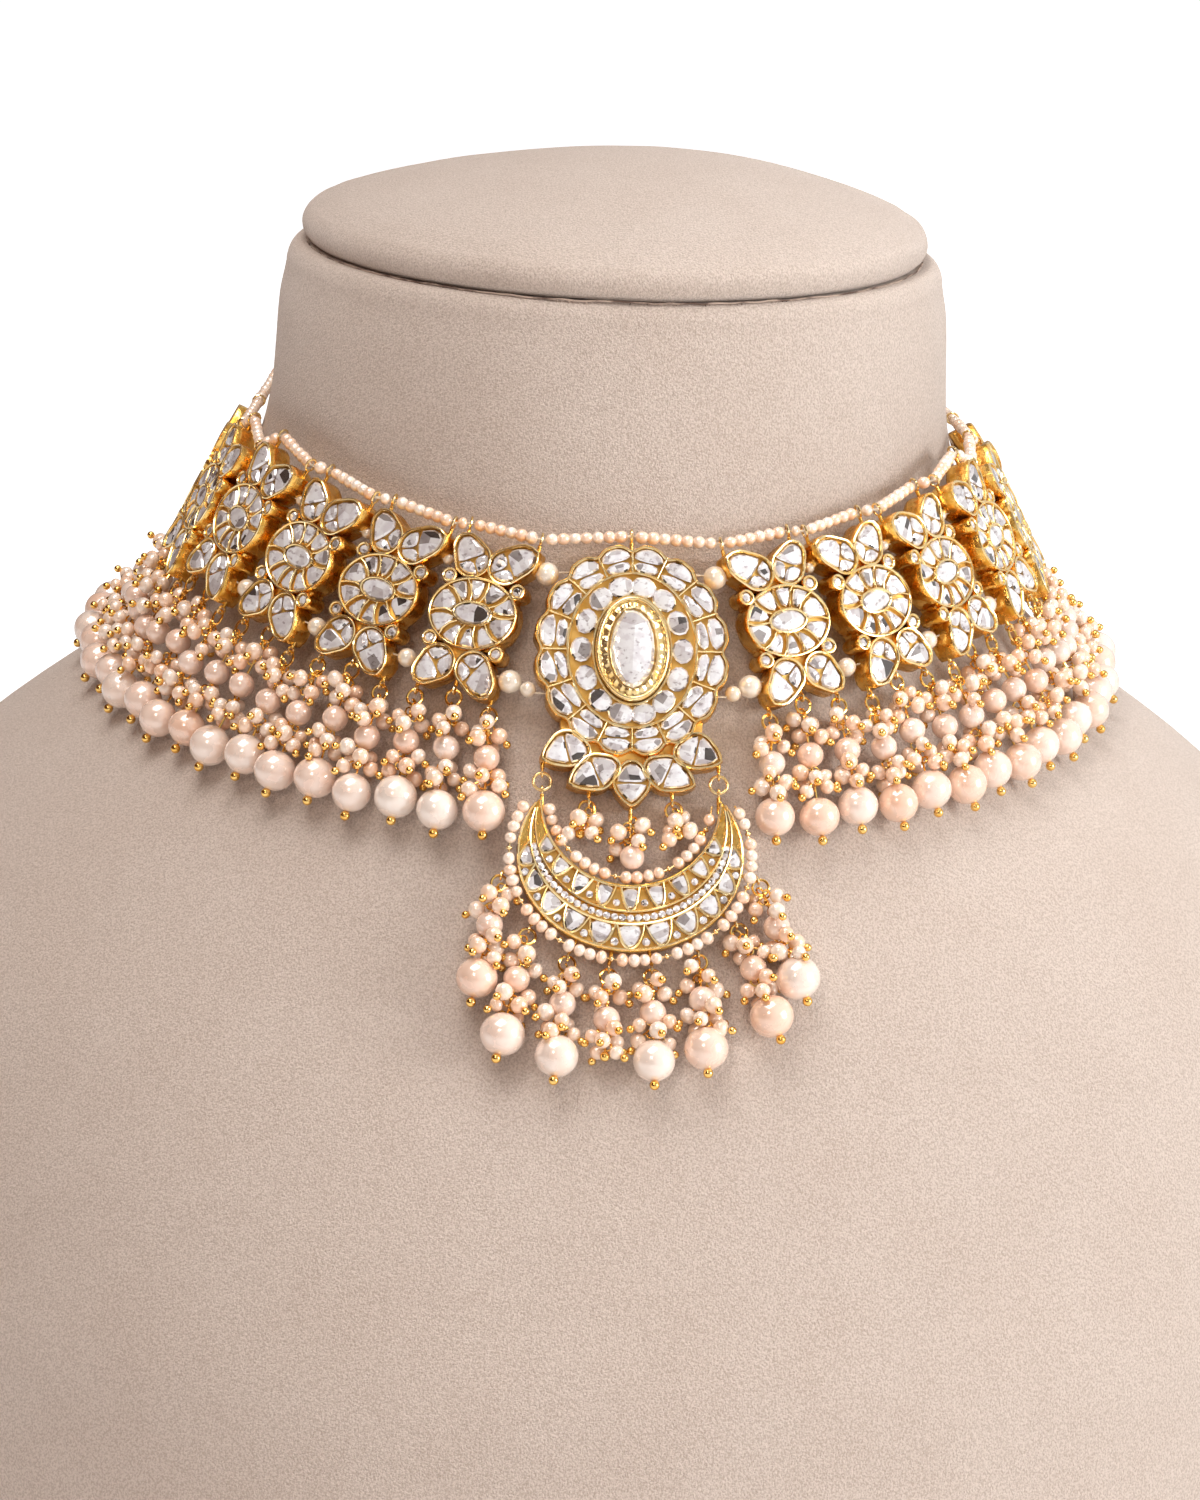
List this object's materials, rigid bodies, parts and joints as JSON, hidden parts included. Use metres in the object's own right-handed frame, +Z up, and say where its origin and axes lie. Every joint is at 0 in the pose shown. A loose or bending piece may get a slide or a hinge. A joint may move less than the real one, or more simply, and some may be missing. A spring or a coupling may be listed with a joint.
{
  "type": "polki necklace on a neck bust",
  "caption": "Choker of stone-set gold plaques with a lobed oval pendant, a crescent and pearl strands, on a plain covered neck bust that stands on its flat base.",
  "frame": {"origin": "middle of the bounding box on the plane that the bust stands on", "axes": "+X towards the right of the picture, +Y towards the back of the neck, +Z up"},
  "size_m": [0.28, 0.2, 0.23],
  "materials": {
    "bust_suede": "short-napped beige suede cloth, glued smooth",
    "gold": "hammered high-carat gold foil and wire, bright on the walls and darker in the recesses",
    "polki_stone": "flat uncut clear stones, foil-backed and polished",
    "pearl": "cream to peach nacre, soft satin lustre",
    "thread": "twisted off-white silk thread"
  },
  "bodies": {
    "root": {"bust": "bust_suede", "bust_cap": "bust_suede", "plaque_left_1": "gold", "plaque_left_2": "gold", "plaque_left_3": "gold", "plaque_left_4": "gold", "plaque_left_5": "gold", "plaque_left_6": "gold", "plaque_right_1": "gold", "plaque_right_2": "gold", "plaque_right_3": "gold", "plaque_right_4": "gold", "plaque_right_5": "gold", "plaque_right_6": "gold", "flower_stones": "polki_stone", "pendant_setting": "gold", "pendant_centre_stone": "polki_stone", "pendant_ring_stones": "polki_stone", "pendant_petal_stones": "polki_stone", "crescent_setting": "gold", "crescent_jump_rings": "gold", "crescent_inner_string": "pearl", "crescent_outer_string": "pearl", "top_string": "pearl", "clasp": "gold", "upper_thread": "thread", "lower_thread": "thread", "upper_spacer_pearls": "pearl", "lower_spacer_pearls": "pearl", "left_fringe_wires": "gold", "left_medium_pearls": "pearl", "left_large_pearls": "pearl", "right_fringe_wires": "gold", "right_medium_pearls": "pearl", "right_large_pearls": "pearl", "crescent_fringe_wires": "gold", "crescent_medium_pearls": "pearl", "crescent_large_pearls": "pearl"}
  },
  "joints": []
}
